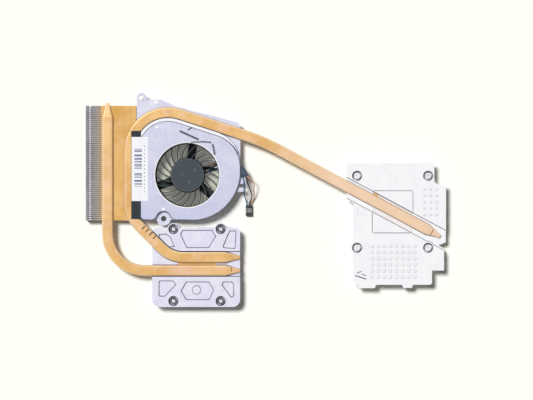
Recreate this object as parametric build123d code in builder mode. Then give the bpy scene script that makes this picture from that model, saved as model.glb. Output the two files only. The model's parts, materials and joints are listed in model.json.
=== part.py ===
"""Laptop cooling fan heatsink: a blower, a fin stack, two flat heat pipes and two chip plates.

Millimetres. The part lies flat: +X runs from the fins to the graphics plate, +Z is up and
z = 0 is the surface that it lies on. X and Y are measured from the middle of the part.
"""
import math
import os

from build123d import *

os.makedirs("parts", exist_ok=True)

# Places of the main modules, from the middle of the part
FAN_X, FAN_Y = -60.4, 19.1
CPU_X, CPU_Y = -52.9, -50.2
GPU_X, GPU_Y = 97.7, -9.2

# Heights
FAN_HEIGHT = 12.0
COVER_SHEET = 0.8
FLOOR_SHEET = 0.8
DECK_SHEET = 1.2
DUCT_SHEET = 0.6
TROUGH_DEPTH = 2.0

# Flat heat pipes
PIPE_WIDTH = 8.4
PIPE_THICK = 3.0
PIPE_WALL = 0.4
WICK_THICK = 0.4
TAPER_LENGTH = 5.5
NOSE_LENGTH = 5.5
NECK_WIDTH = 5.2
NECK_THICK = 2.0
NOSE_WIDTH = 2.6
NOSE_THICK = 1.2

# Route of the long pipe
LONG_X = -104.9
LONG_BEND_R = 29.65
LONG_FALL = 18.0
KINK_X = -2.0
KINK_R = 138.0
LONG_END_X, LONG_END_Y = 134.2, -28.1
DIAGONAL_TOP_Y = -12.6
DIAGONAL_R = 23.9
LONG_RUN_Y = -44.2
PIPE_END_X = -19.8

# Route of the short pipe
SHORT_X = -121.9
SHORT_TOP_Y = 74.6
SHORT_RUN_Y = -54.4
SHORT_BEND_R = 28.5

# Fan frame, measured from the rotor's axis
SCROLL_START = 33.0
SCROLL_GROWTH = 6.3
SCROLL_END = 85.0
FRAME_WALL = 1.5
OUTLET_X = -39.1
OUTLET_TOP = 53.0
RAISED_LEFT = -36.2
RAISED_CORNER_R = 3.5
RIM_BAND = 2.3
RIM_LEDGE = 1.2
ROOF_CORNER_R = 26.0
DECK_CORNER_R = 3.5
DECK_BREAK_X, DECK_BREAK_Y = -8.7, 53.1
DECK_CORNER_Y = 40.1
EAR_X, EAR_Y = -35.3, 59.3
EAR_R = 4.0
EAR_HOLE_R = 1.8
SIDE_HOLE_X, SIDE_HOLE_Y = -24.3, 56.2
SIDE_HOLE_R = 1.3
LUG_X, LUG_Y = -18.3, -33.6
LUG_R = 5.4
LUG_HOLE_R = 2.1
LUG_SHOULDER_R = 4.5
NIB_BEARING = -48.6
NIB_R = 0.8
FRAME_HOLES = [
    (EAR_X, EAR_Y, EAR_HOLE_R),
    (SIDE_HOLE_X, SIDE_HOLE_Y, SIDE_HOLE_R),
    (LUG_X, LUG_Y, LUG_HOLE_R),
]
TAB_Y = -6.4
TAB_WIDTH = 13.0
TAB_REACH = 2.3
SLOT_Y = -8.2
SLOT_X = 40.0
SLOT_R = 1.4
STAKE_BEARING = 114.5
STAKE_INSET = 1.5
STAKE_R = 0.9
STAKE_HEAD_R = 1.3
STAKE_HEAD = 0.3
STAKE_BOSS_R = 1.8

# Inlets and motor
INLET_R = 24.6
INLET_CHAMFER = 0.4
LOWER_INLET_R = 24.0
STRUT_WIDTH = 6.5
STRUT_COUNT = 3
STRUT_FIRST = 80.0
SEAT_R = 13.6
TUBE_R = 3.0
TUBE_WALL = 1.0
TUBE_TOP = 8.0
TUBE_FLANGE_R = 5.0
TUBE_FLANGE = 0.5
PAD_THICK = 0.5
BOARD_R = 10.8
BOARD_THICK = 0.8
SHAFT_R = 0.75
SHAFT_CLEAR = 0.03
CORE_R = 9.2
CORE_Z = 3.8
CORE_HEIGHT = 2.6
CORE_RING = 1.4
POLES = 6
POLE_WIDTH = 1.8
SHOE_THICK = 0.9
SHOE_ANGLE = 46.0
COIL_THICK = 0.8
AIR_GAP = 0.4

# Impeller
HUB_R = 12.9
HUB_TOP = 10.0
HUB_WALL = 0.9
HUB_SKIRT_Z = 2.9
HUB_EDGE_R = 0.5
YOKE_WALL = 0.7
BOSS_R = 2.0
BLADES = 23
BLADE_TIP_R = 28.5
BLADE_SWEEP = -32.0
BLADE_BOW = 2.0
BLADE_ROOT = 0.8
BLADE_TIP = 0.5
BLADE_Z = 2.4
BLADE_TOP = 9.8

# Fin stack and the plate on it
STACK_X = -138.8
STACK_TOP = 53.5
STACK_BOTTOM = -35.0
FIN_COUNT = 55
FIN_SHEET = 0.2
FLANGE_GAP = 0.06
LOCK_X = 2.7
LOCK_WIDTH = 1.4
DUCT_PLATE_X = -126.9
OUTLET_GAP = 0.3

# Chip plates
PLATE_THICK = 3.0
POCKET_DEPTH = 1.2
TROUGH_CLEAR = 0.6
CPU_LEFT, CPU_RIGHT = -34.6, 33.1
CPU_TOP, CPU_BOTTOM = 28.9, -32.3
CPU_CORNER_R = 5.8
CPU_TOP_CORNER_R = 4.0
CPU_SCREWS_X, CPU_SCREWS_Y = 36.4, 55.4
CPU_BLOCK_X, CPU_BLOCK_Y = 30.0, 17.0
POCKET_BOSS = (-0.4, -19.2)
POCKET_BOSS_R = 3.0
# Outlines of the plate's shallow pockets, from its middle, each with its corner radius
POCKETS = [
    ([(-30.0, 23.9), (-23.9, 24.2), (-20.4, 21.9), (-16.9, 13.9), (-26.2, 13.9)], 0.6),
    ([(-11.2, 27.0), (11.9, 27.0), (15.0, 22.7), (9.2, 13.1), (-8.1, 13.1), (-13.1, 23.5)], 1.2),
    ([(25.0, 26.6), (30.4, 26.6), (29.6, 12.3), (19.3, 13.1), (22.7, 21.6)], 1.2),
    ([(-29.6, -11.9), (-18.5, -11.9), (-15.8, -15.0), (-24.6, -24.3), (-29.6, -24.3)], 1.2),
    ([(-8.5, -12.7), (9.2, -12.7), (13.1, -19.3), (9.6, -27.0), (-8.5, -27.0), (-12.7, -20.0)], 1.2),
    ([(20.0, -12.7), (27.0, -12.7), (28.5, -14.6), (28.5, -23.9), (26.2, -25.4), (18.9, -15.4)], 1.0),
]
GPU_SCREWS_X, GPU_SCREWS_Y = 54.7, 55.4
# Corners of the graphics plate, from the middle of its screws, each with its corner radius
GPU_OUTLINE = [
    ((-35.5, 37.6), 1.5),
    ((32.1, 37.6), 0.8),
    ((32.1, 23.2), 1.5),
    ((34.6, 21.0), 1.5),
    ((41.1, 21.0), 0.8),
    ((41.1, -23.6), 1.0),
    ((35.3, -25.7), 0.3),
    ((39.6, -28.2), 0.8),
    ((39.6, -45.2), 0.5),
    ((30.3, -45.2), 0.5),
    ((30.3, -56.2), 1.8),
    ((15.6, -56.2), 0.5),
    ((14.8, -58.6), 0.5),
    ((8.2, -58.6), 0.5),
    ((7.4, -56.2), 0.5),
    ((-12.8, -56.2), 0.5),
    ((-13.6, -58.8), 0.5),
    ((-25.9, -58.8), 0.5),
    ((-27.2, -56.4), 0.5),
    ((-30.5, -54.4), 1.5),
    ((-30.3, 6.4), 1.5),
    ((-35.5, 10.2), 0.8),
]
GPU_PAD_X, GPU_PAD_Y = 30.8, 32.0
GPU_PAD_RISE = 0.9
GPU_PAD_R = 1.5
TROUGH_ABOVE, TROUGH_BELOW = 6.4, 8.3
BLOCK_FLANGE = 1.8
BLOCK_FLANGE_THICK = 0.8
BLOCK_STAND = 1.0
DIE_SIZE = 17.0
BLOCK_CLEAR = 0.15

# Captive screws
BOSS_HEIGHT = 6.0
SCREW_BOSS_R = 4.7
COUNTERBORE_R = 3.9
BOSS_FLOOR = 1.0
SHANK_R = 1.25
THREAD_R = 1.0
THREAD_LENGTH = 3.2
SHANK_CLEAR = 0.1
HEAD_R = 2.5
HEAD_HEIGHT = 1.3
RECESS_WIDTH = 0.6
RECESS_LENGTH = 2.6
RECESS_DEPTH = 0.8
SPRING_LENGTH = 3.4
SPRING_R = 1.95
SPRING_WIRE = 0.4
SPRING_TURNS = 3.0
CLIP_R = 2.3
CLIP_THICK = 0.4
CLIP_GAP = 0.1
GROOVE_DEPTH = 0.5

# Foam strip and label
STRIP_LEFT, STRIP_RIGHT = -103.4, -96.1
STRIP_BOTTOM, STRIP_TOP = -14.7, 53.0
STRIP_THICK = 0.25
LABEL_LEFT, LABEL_RIGHT = -103.2, -90.7
LABEL_BOTTOM, LABEL_TOP = -0.9, 48.4
LABEL_THICK = 0.12

# Fan lead
LEAD_BEARING = 17.0
EXIT_Y = 5.2
EXIT_WIDTH = 9.2
SLEEVE_WIDTH = 5.2
SLEEVE_THICK = 1.7
SLEEVE_WALL = 0.25
SLEEVE_BEND_R = 8.0
SLEEVE_CUT = 1.6
WIRE_D = 0.9
WIRE_PITCH = 1.12
# Middle of the four wires, side by side: along the floor, up the wall and out through the sleeve.
# The last three points are the sleeve's own.
LEAD_ROUTE = [
    (-44.7, 23.9, 1.28),
    (-38.9, 25.8, 1.28),
    (-33.2, 27.3, 1.28),
    (-29.0, 28.8, 2.0),
    (-26.6, 29.3, 4.6),
    (-25.0, 28.8, 7.6),
    (-23.4, 27.4, 9.7),
    (-21.2, 25.3, 10.1),
    (-17.5, 22.0, 10.1),
    (-15.2, 16.4, 10.1),
]
# Where each wire goes from there, loose, down to the connector; the first is the innermost
WIRES = {
    "blue": [
        (-16.4, 12.6, 10.0), (-16.3, 8.2, 8.9), (-16.6, 4.2, 6.2), (-15.6, 0.6, 3.2), (-14.8, -1.9, 1.8),
    ],
    "white": [
        (-15.7, 13.2, 10.0), (-14.3, 9.4, 8.2), (-13.2, 5.4, 5.6), (-12.7, 1.6, 3.2), (-13.4, -1.7, 1.8),
    ],
    "black": [
        (-14.0, 13.4, 9.8), (-12.6, 9.6, 8.6), (-11.3, 5.8, 6.0), (-10.4, 1.8, 3.4), (-11.9, -1.5, 1.8),
    ],
    "red": [
        (-10.8, 15.6, 10.3), (-8.6, 12.6, 9.6), (-9.4, 8.0, 7.4), (-8.6, 3.8, 4.2), (-10.0, -0.4, 2.0),
    ],
}
PLUG_X, PLUG_Y = -13.0, -8.2
PLUG_WIDTH, PLUG_LENGTH, PLUG_HEIGHT = 5.0, 8.4, 3.0
PLUG_CHAMFER = 0.2
PLUG_GAP = 0.1
CONTACT_WIDTH = 0.5
CONTACT_LENGTH = 3.6
CONTACT_DEPTH = 0.7

# Clearances
FIT = 0.02
PIPE_CLEAR = 0.15
COVER_CLEAR = 0.15

# Worked out from the sizes above
Z_PIPE = FAN_HEIGHT - PIPE_THICK
Z_PIPE_MID = Z_PIPE + PIPE_THICK / 2
Z_COVER = FAN_HEIGHT - COVER_SHEET
Z_DECK = Z_PIPE - DECK_SHEET
Z_DUCT = Z_PIPE - DUCT_SHEET
Z_PLATE_TOP = Z_PIPE + TROUGH_DEPTH
Z_PLATE = Z_PLATE_TOP - PLATE_THICK
Z_BOSS = Z_PLATE_TOP - BOSS_HEIGHT
Z_SPRING = Z_BOSS + BOSS_FLOOR
Z_HEAD = Z_SPRING + SPRING_LENGTH
FALL = math.radians(LONG_FALL)
BEND_X = LONG_X + LONG_BEND_R
RIM_R = LONG_BEND_R - PIPE_WIDTH / 2 - PIPE_CLEAR
BEND_LOCAL_X = BEND_X - FAN_X
BEND_LOCAL_Y = 18.5
BEND_Y = FAN_Y + BEND_LOCAL_Y
COVER_ROOF = RIM_R - RIM_BAND


def save(part, name):
    """Label one piece and write it."""
    part.label = name
    export_step(part, f"parts/{name}.step")


def at(radius, degrees):
    """A point from its distance and bearing."""
    turn = math.radians(degrees)
    return (radius * math.cos(turn), radius * math.sin(turn))


# Heat pipes


def long_pipe_corners():
    """Corners of the long pipe's route, from the processor plate to the graphics plate."""
    top_y = BEND_Y + LONG_BEND_R * math.tan(math.radians(45 + LONG_FALL / 2))
    kink_y = top_y - (KINK_X - LONG_X) * math.tan(FALL)
    diagonal = DIAGONAL_TOP_Y - LONG_RUN_Y
    return [
        (PIPE_END_X, LONG_RUN_Y),
        (LONG_X + diagonal, LONG_RUN_Y),
        (LONG_X, DIAGONAL_TOP_Y),
        (LONG_X, top_y),
        (KINK_X, kink_y),
        (LONG_END_X, LONG_END_Y),
    ]


def short_pipe_corners():
    """Corners of the short pipe's route, from the processor plate to the fin stack."""
    return [(PIPE_END_X, SHORT_RUN_Y), (SHORT_X, SHORT_RUN_Y), (SHORT_X, SHORT_TOP_Y)]


def toward(start, end, distance):
    """The point at a distance from start on the way to end."""
    step = Vector(*end) - Vector(*start)
    return Vector(*start) + step.normalized() * distance


def flat_tube(corners, radii, inset, end_cap):
    """A closed flat bar along a route, its section smaller by inset, with drawn-in ends.

    end_cap is the length of each tapering end that this bar fills.
    """
    first = toward(corners[0], corners[1], TAPER_LENGTH + NOSE_LENGTH)
    last = toward(corners[-1], corners[-2], TAPER_LENGTH + NOSE_LENGTH)
    route = [(p[0], p[1], Z_PIPE_MID) for p in corners]
    route[0] = (first.X, first.Y, Z_PIPE_MID)
    route[-1] = (last.X, last.Y, Z_PIPE_MID)
    width = PIPE_WIDTH - 2 * inset
    thick = PIPE_THICK - 2 * inset
    with BuildPart() as bar:
        with BuildLine() as path:
            FilletPolyline(*route, radius=radii)
        start = path.line @ 0
        heading = path.line % 0
        across = Vector(-heading.Y, heading.X, 0)
        with BuildSketch(Plane(start, x_dir=across, z_dir=heading)):
            SlotOverall(width, thick)
        sweep(path=path.line)
        for position, outward in ((0, -1), (1, 1)):
            base = path.line @ position
            away = (path.line % position) * outward
            side = Vector(-away.Y, away.X, 0)
            stations = [(0, width, thick)]
            if end_cap > TAPER_LENGTH:
                stations.append((TAPER_LENGTH, NECK_WIDTH, NECK_THICK))
                stations.append((end_cap, NOSE_WIDTH, NOSE_THICK))
            else:
                stations.append((end_cap, NECK_WIDTH - 2 * inset, NECK_THICK - 2 * inset))
            for distance, section_width, section_thick in stations:
                with BuildSketch(Plane(base + away * distance, x_dir=side, z_dir=away)):
                    SlotOverall(section_width, section_thick)
            loft(ruled=True)
    return bar.part


def heat_pipe(corners, radii):
    """The copper shell of a pipe and the sintered wick that lines it."""
    cap = TAPER_LENGTH + NOSE_LENGTH
    inner_cap = TAPER_LENGTH / 2
    bore = flat_tube(corners, radii, PIPE_WALL, inner_cap)
    shell = flat_tube(corners, radii, 0, cap) - bore
    lining = flat_tube(corners, radii, PIPE_WALL + FIT, inner_cap - FIT)
    core = flat_tube(corners, radii, PIPE_WALL + WICK_THICK, inner_cap - WICK_THICK)
    return shell, lining - core


long_radii = [DIAGONAL_R, DIAGONAL_R, LONG_BEND_R, KINK_R]
long_shell, long_wick = heat_pipe(long_pipe_corners(), long_radii)
save(long_shell, "heat_pipe_long")
save(long_wick, "heat_pipe_long_wick")
short_shell, short_wick = heat_pipe(short_pipe_corners(), [SHORT_BEND_R])
save(short_shell, "heat_pipe_short")
save(short_wick, "heat_pipe_short_wick")


# Fan frame


def scroll_points(extra, first, last):
    """Points of the spiral wall, which grows evenly from straight below the axis."""
    count = 8
    points = []
    for i in range(count + 1):
        bearing = first + (last - first) * i / count
        radius = SCROLL_START + SCROLL_GROWTH * (bearing + 90) / 90 + extra
        points.append(at(radius, bearing))
    return points


def scroll_outline(extra, reach):
    """The lower outline: the spiral, the outlet's two sides and an open end at reach."""
    low = -(SCROLL_START + extra)
    points = scroll_points(extra, 0, SCROLL_END)
    slope = (OUTLET_TOP + extra - points[-1][1]) / (OUTLET_X - points[-1][0])
    high = OUTLET_TOP + extra + (reach - OUTLET_X) * slope
    with BuildSketch() as outline:
        with BuildLine():
            Spline(scroll_points(extra, -90, 0))
            Spline(points)
            Polyline(points[-1], (reach, high), (reach, low), (0, low))
        make_face()
    return outline.sketch


def raised_outline(extra, roof, left, notch):
    """The raised outline: the spiral below, the roof beside the long pipe above.

    roof is the distance from the pipe's bend centre, and notch the radius kept free of the lug.
    """
    low = -(SCROLL_START + extra)
    right = SCROLL_START + SCROLL_GROWTH + extra
    far_left = BEND_LOCAL_X - roof

    def roof_y(x):
        return BEND_LOCAL_Y + (roof - (x - BEND_LOCAL_X) * math.sin(FALL)) / math.cos(FALL)

    corners = [
        (right, 0),
        (right, roof_y(right)),
        (far_left, roof_y(far_left)),
        (far_left, low),
        (0, low),
    ]
    with BuildSketch() as outline:
        with BuildLine():
            Spline(scroll_points(extra, -90, 0))
            FilletPolyline(*corners, radius=[ROOF_CORNER_R + extra - FRAME_WALL, roof, 0])
        make_face()
        with Locations((left, 0)):
            Rectangle(4 * HUB_R, 4 * SCROLL_START, align=(Align.MAX, Align.CENTER), mode=Mode.SUBTRACT)
        outlet_corner = outline.vertices().sort_by_distance((left, low))[0]
        fillet(outlet_corner, RAISED_CORNER_R + extra - FRAME_WALL)
        with Locations((LUG_X, LUG_Y)):
            Circle(notch, mode=Mode.SUBTRACT)
        shoulders = [outline.vertices().sort_by_distance((LUG_X + side * notch, low))[0] for side in (-1, 1)]
        fillet(shoulders, LUG_SHOULDER_R + extra - FRAME_WALL)
    return outline.sketch


def deck_outline():
    """The flange under the long pipe, with its ear, lug and slotted tab."""
    right = SCROLL_START + SCROLL_GROWTH + FRAME_WALL
    low = -(SCROLL_START + FRAME_WALL)
    shoulder_y = SIDE_HOLE_Y + SIDE_HOLE_R + FRAME_WALL / 2
    corners = [
        (OUTLET_X, low),
        (OUTLET_X, EAR_Y),
        (EAR_X, EAR_Y),
        (EAR_X + EAR_R, shoulder_y),
        (SIDE_HOLE_X + EAR_R, shoulder_y),
        (DECK_BREAK_X, DECK_BREAK_Y),
        (right, DECK_CORNER_Y),
        (right, 0),
    ]
    radii = [0, 0, 0, 0, DECK_CORNER_R, DECK_CORNER_R, DECK_CORNER_R, 0]
    with BuildSketch() as outline:
        add(scroll_outline(FRAME_WALL, OUTLET_X))
        with BuildLine():
            FilletPolyline(*corners, radius=radii, close=True)
        make_face()
        with Locations((EAR_X, EAR_Y)):
            Circle(EAR_R)
        with Locations((LUG_X, LUG_Y)):
            Circle(LUG_R)
        with Locations((right + TAB_REACH, TAB_Y)):
            Rectangle(TAB_REACH + 4 * SLOT_R, TAB_WIDTH, align=(Align.MAX, Align.CENTER))
        for x, y, radius in FRAME_HOLES:
            with Locations((x, y)):
                Circle(radius, mode=Mode.SUBTRACT)
        with Locations((SLOT_X, SLOT_Y)):
            Circle(SLOT_R, mode=Mode.SUBTRACT)
            Rectangle(4 * SLOT_R, 2 * SLOT_R, align=(Align.MIN, Align.CENTER), mode=Mode.SUBTRACT)
    return outline.sketch


def plane(z):
    """The fan's own plane at a height: its origin is on the rotor's axis."""
    return Plane((FAN_X, FAN_Y, z))


stake_x, stake_y = at(COVER_ROOF - RIM_LEDGE - STAKE_INSET, STAKE_BEARING)
stakes = [
    (BEND_LOCAL_X + stake_x, BEND_LOCAL_Y + stake_y),
    (LUG_X, LUG_Y + LUG_R + FRAME_WALL + STAKE_R / 2),
]
nib_r = SCROLL_START + SCROLL_GROWTH * (NIB_BEARING + 90) / 90 + FRAME_WALL
with BuildPart() as frame:
    with BuildSketch(plane(FLOOR_SHEET)):
        add(scroll_outline(FRAME_WALL, OUTLET_X))
        add(scroll_outline(0, OUTLET_X - FRAME_WALL), mode=Mode.SUBTRACT)
        with Locations((LUG_X, LUG_Y)):
            Circle(LUG_R)
            Circle(LUG_HOLE_R, mode=Mode.SUBTRACT)
    extrude(amount=Z_DECK - FLOOR_SHEET)
    with BuildSketch(plane(Z_DECK)):
        add(deck_outline())
    extrude(amount=DECK_SHEET)
    with BuildSketch(plane(Z_PIPE)):
        add(raised_outline(FRAME_WALL, RIM_R, RAISED_LEFT, LUG_R + COVER_CLEAR))
        with Locations(at(nib_r, NIB_BEARING)):
            Circle(NIB_R)
    extrude(amount=FAN_HEIGHT - Z_PIPE)
    with BuildSketch(plane(Z_COVER)):
        add(raised_outline(2 * FRAME_WALL, COVER_ROOF + COVER_CLEAR, RAISED_LEFT - FRAME_WALL, LUG_R))
    extrude(amount=COVER_SHEET, mode=Mode.SUBTRACT)
    with BuildSketch(plane(Z_DECK)):
        add(raised_outline(0, COVER_ROOF - RIM_LEDGE, RAISED_LEFT + FRAME_WALL, LUG_R + FRAME_WALL))
    extrude(amount=FAN_HEIGHT - Z_DECK, mode=Mode.SUBTRACT)
    for base, top, radius in (
        (Z_DECK, Z_COVER, STAKE_BOSS_R),
        (Z_COVER, FAN_HEIGHT, STAKE_R),
        (FAN_HEIGHT, FAN_HEIGHT + STAKE_HEAD, STAKE_HEAD_R),
    ):
        with BuildSketch(plane(base)):
            with Locations(*stakes):
                Circle(radius)
        extrude(amount=top - base)
    with BuildSketch(plane(Z_PIPE)):
        with Locations((SCROLL_START + SCROLL_GROWTH, EXIT_Y)):
            Rectangle(4 * FRAME_WALL, EXIT_WIDTH)
    extrude(amount=Z_COVER - Z_PIPE, mode=Mode.SUBTRACT)
save(frame.part, "fan_frame")

with BuildPart() as cover:
    with BuildSketch(plane(Z_COVER)):
        add(raised_outline(FRAME_WALL, COVER_ROOF, RAISED_LEFT, LUG_R + 2 * COVER_CLEAR))
        Circle(INLET_R, mode=Mode.SUBTRACT)
        with Locations(*stakes):
            Circle(STAKE_R + FIT, mode=Mode.SUBTRACT)
    extrude(amount=COVER_SHEET)
    inlet_edges = cover.edges().filter_by(GeomType.CIRCLE).group_by(Axis.Z)[-1]
    chamfer([e for e in inlet_edges if abs(e.radius - INLET_R) < FIT], INLET_CHAMFER)
save(cover.part, "fan_cover")

with BuildPart() as floor_plate:
    with BuildSketch(plane(0)):
        add(scroll_outline(FRAME_WALL, OUTLET_X))
        with Locations((LUG_X, LUG_Y)):
            Circle(LUG_R)
            Circle(LUG_HOLE_R, mode=Mode.SUBTRACT)
        Circle(LOWER_INLET_R, mode=Mode.SUBTRACT)
        Circle(SEAT_R)
        with PolarLocations((SEAT_R + LOWER_INLET_R) / 2, STRUT_COUNT, start_angle=STRUT_FIRST):
            Rectangle(LOWER_INLET_R - SEAT_R + 2 * FRAME_WALL, STRUT_WIDTH)
        with PolarLocations((SEAT_R + LOWER_INLET_R) / 2, 1, start_angle=LEAD_BEARING):
            Rectangle(LOWER_INLET_R - SEAT_R + 2 * FRAME_WALL, 4 * WIRE_PITCH + WIRE_D)
        Circle(TUBE_R + FIT, mode=Mode.SUBTRACT)
    extrude(amount=FLOOR_SHEET)
save(floor_plate.part, "fan_bottom_plate")


# Motor

tube_bore = TUBE_R - TUBE_WALL
z_board = FLOOR_SHEET + TUBE_FLANGE
z_sleeve = FLOOR_SHEET + 2 * PAD_THICK
with BuildPart() as tube:
    with BuildSketch(plane(0)):
        Circle(TUBE_R)
    extrude(amount=TUBE_TOP)
    with BuildSketch(plane(FLOOR_SHEET)):
        Circle(TUBE_FLANGE_R)
    extrude(amount=TUBE_FLANGE)
    with BuildSketch(plane(FLOOR_SHEET)):
        Circle(tube_bore)
    extrude(amount=TUBE_TOP - FLOOR_SHEET, mode=Mode.SUBTRACT)
save(tube.part, "bearing_tube")

with BuildPart() as pad:
    with BuildSketch(plane(FLOOR_SHEET)):
        Circle(tube_bore - FIT)
    extrude(amount=PAD_THICK)
save(pad.part, "thrust_pad")

with BuildPart() as sleeve:
    with BuildSketch(plane(z_sleeve)):
        Circle(tube_bore - FIT)
        Circle(SHAFT_R + SHAFT_CLEAR, mode=Mode.SUBTRACT)
    extrude(amount=TUBE_TOP - z_sleeve)
save(sleeve.part, "bearing_sleeve")

with BuildPart() as board:
    with BuildSketch(plane(z_board)):
        Circle(BOARD_R)
        Circle(TUBE_R + FIT, mode=Mode.SUBTRACT)
    extrude(amount=BOARD_THICK)
save(board.part, "motor_board")

arm_length = CORE_R - TUBE_R - CORE_RING - SHOE_THICK
arm_middle = TUBE_R + CORE_RING + arm_length / 2
with BuildPart() as core:
    with BuildSketch(plane(CORE_Z)):
        Circle(CORE_R)
        Circle(CORE_R - SHOE_THICK, mode=Mode.SUBTRACT)
        with PolarLocations(CORE_R, POLES, start_angle=180 / POLES):
            Rectangle(4 * SHOE_THICK, CORE_R * math.radians(360 / POLES - SHOE_ANGLE), mode=Mode.SUBTRACT)
        Circle(TUBE_R + CORE_RING)
        with PolarLocations(arm_middle, POLES):
            Rectangle(arm_length + SHOE_THICK, POLE_WIDTH)
        Circle(TUBE_R + FIT, mode=Mode.SUBTRACT)
    extrude(amount=CORE_HEIGHT)
save(core.part, "stator_core")

coil_length = arm_length - 2 * COIL_THICK
with BuildPart() as coils:
    with BuildSketch(plane(CORE_Z - COIL_THICK)):
        with PolarLocations(arm_middle, POLES):
            Rectangle(coil_length, POLE_WIDTH + 2 * COIL_THICK)
    extrude(amount=CORE_HEIGHT + 2 * COIL_THICK)
    with BuildSketch(plane(CORE_Z - FIT)):
        with PolarLocations(arm_middle, POLES):
            Rectangle(2 * coil_length, POLE_WIDTH + 2 * FIT)
    extrude(amount=CORE_HEIGHT + 2 * FIT, mode=Mode.SUBTRACT)
save(coils.part, "stator_windings")

skirt_inner = HUB_R - HUB_WALL
magnet_inner = CORE_R + AIR_GAP
roof_z = HUB_TOP - HUB_WALL
yoke_inner = skirt_inner - YOKE_WALL
blade_root_r = HUB_R - HUB_WALL / 2
blade_middle_r = (blade_root_r + BLADE_TIP_R) / 2
root_lean = math.degrees(BLADE_ROOT / 2 / HUB_R)
tip_lean = math.degrees(BLADE_TIP / 2 / BLADE_TIP_R)
middle_lean = (root_lean + tip_lean) / 2
with BuildPart() as impeller:
    with BuildSketch(plane(HUB_SKIRT_Z)):
        Circle(HUB_R)
    extrude(amount=HUB_TOP - HUB_SKIRT_Z)
    fillet(impeller.edges().group_by(Axis.Z)[-1], HUB_EDGE_R)
    with BuildSketch(plane(HUB_SKIRT_Z)):
        Circle(skirt_inner)
    extrude(amount=roof_z - HUB_SKIRT_Z, mode=Mode.SUBTRACT)
    with BuildSketch(plane(roof_z - YOKE_WALL)):
        Circle(BOSS_R)
    extrude(amount=YOKE_WALL)
    with BuildSketch(plane(roof_z - YOKE_WALL)):
        Circle(SHAFT_R + FIT)
    extrude(amount=YOKE_WALL + HUB_WALL / 2, mode=Mode.SUBTRACT)
    with BuildSketch(plane(BLADE_Z)):
        for i in range(BLADES):
            bearing = 360 * i / BLADES
            faces = []
            for side in (-1, 1):
                root = at(blade_root_r, bearing + side * root_lean)
                middle = at(blade_middle_r, bearing + BLADE_SWEEP / 2 + BLADE_BOW + side * middle_lean)
                tip = at(BLADE_TIP_R, bearing + BLADE_SWEEP + side * tip_lean)
                faces.append((root, middle, tip))
            front, back = faces
            with BuildLine():
                ThreePointArc(*front)
                Line(front[-1], back[-1])
                ThreePointArc(*back)
                Line(front[0], back[0])
            make_face()
    extrude(amount=BLADE_TOP - BLADE_Z)
save(impeller.part, "impeller")

with BuildPart() as yoke:
    with BuildSketch(plane(HUB_SKIRT_Z)):
        Circle(skirt_inner - FIT)
    extrude(amount=roof_z - FIT - HUB_SKIRT_Z)
    with BuildSketch(plane(HUB_SKIRT_Z)):
        Circle(yoke_inner)
    extrude(amount=roof_z - YOKE_WALL - HUB_SKIRT_Z, mode=Mode.SUBTRACT)
    with BuildSketch(plane(HUB_SKIRT_Z)):
        Circle(BOSS_R + FIT)
    extrude(amount=HUB_TOP - HUB_SKIRT_Z, mode=Mode.SUBTRACT)
save(yoke.part, "rotor_yoke")

with BuildPart() as magnet:
    with BuildSketch(plane(CORE_Z - COIL_THICK)):
        Circle(yoke_inner - FIT)
        Circle(magnet_inner, mode=Mode.SUBTRACT)
    extrude(amount=CORE_HEIGHT + 2 * COIL_THICK)
save(magnet.part, "rotor_magnet")

z_shaft = FLOOR_SHEET + PAD_THICK + SHAFT_CLEAR
with BuildPart() as shaft:
    with BuildSketch(plane(z_shaft)):
        Circle(SHAFT_R)
    extrude(amount=roof_z + HUB_WALL / 2 - FIT - z_shaft)
save(shaft.part, "rotor_shaft")


# Fin stack

fin_length = FAN_X + OUTLET_X - OUTLET_GAP - STACK_X
fin_pitch = (STACK_TOP - STACK_BOTTOM) / FIN_COUNT
fin_flange = fin_pitch - FLANGE_GAP
with BuildPart() as fins:
    with BuildSketch(Plane.YZ.offset(STACK_X)):
        for i in range(FIN_COUNT):
            with Locations((FAN_Y + STACK_BOTTOM + i * fin_pitch, 0)):
                Rectangle(fin_flange, FIN_SHEET, align=(Align.MIN, Align.MIN))
                Rectangle(FIN_SHEET, Z_DUCT, align=(Align.MIN, Align.MIN))
            with Locations((FAN_Y + STACK_BOTTOM + i * fin_pitch, Z_DUCT)):
                Rectangle(fin_flange, FIN_SHEET, align=(Align.MIN, Align.MAX))
    extrude(amount=fin_length)
    with BuildSketch(Plane.XY.offset(Z_DUCT)):
        with Locations((STACK_X + LOCK_X, FAN_Y)):
            Rectangle(LOCK_WIDTH, 4 * STACK_TOP, align=(Align.MIN, Align.CENTER))
    extrude(amount=-FIN_SHEET, mode=Mode.SUBTRACT)
save(fins.part, "fin_stack")

duct_width = STACK_X + fin_length - DUCT_PLATE_X
with BuildPart() as duct_plate:
    with BuildSketch(Plane.XY.offset(Z_DUCT)):
        with Locations((DUCT_PLATE_X, FAN_Y + STACK_BOTTOM)):
            Rectangle(duct_width, STACK_TOP - STACK_BOTTOM, align=(Align.MIN, Align.MIN))
    extrude(amount=DUCT_SHEET)
save(duct_plate.part, "duct_plate")


# Chip plates


def screw_places(spacing_x, spacing_y):
    """The four screws of a plate, measured from its middle."""
    return [(sx * spacing_x / 2, sy * spacing_y / 2) for sy in (1, -1) for sx in (-1, 1)]


def screw_bosses(origin, places):
    """Bosses that hold the captive screws, and the counterbores and holes to cut in them."""
    with BuildPart() as bosses:
        with BuildSketch(Plane((*origin, Z_BOSS))):
            with Locations(*places):
                Circle(SCREW_BOSS_R)
        extrude(amount=BOSS_HEIGHT)
    with BuildPart() as bores:
        for base, radius in ((Z_BOSS - BOSS_FLOOR, SHANK_R + SHANK_CLEAR), (Z_SPRING, COUNTERBORE_R)):
            with BuildSketch(Plane((*origin, base))):
                with Locations(*places):
                    Circle(radius)
            extrude(amount=2 * BOSS_HEIGHT)
    return bosses.part, bores.part


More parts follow.
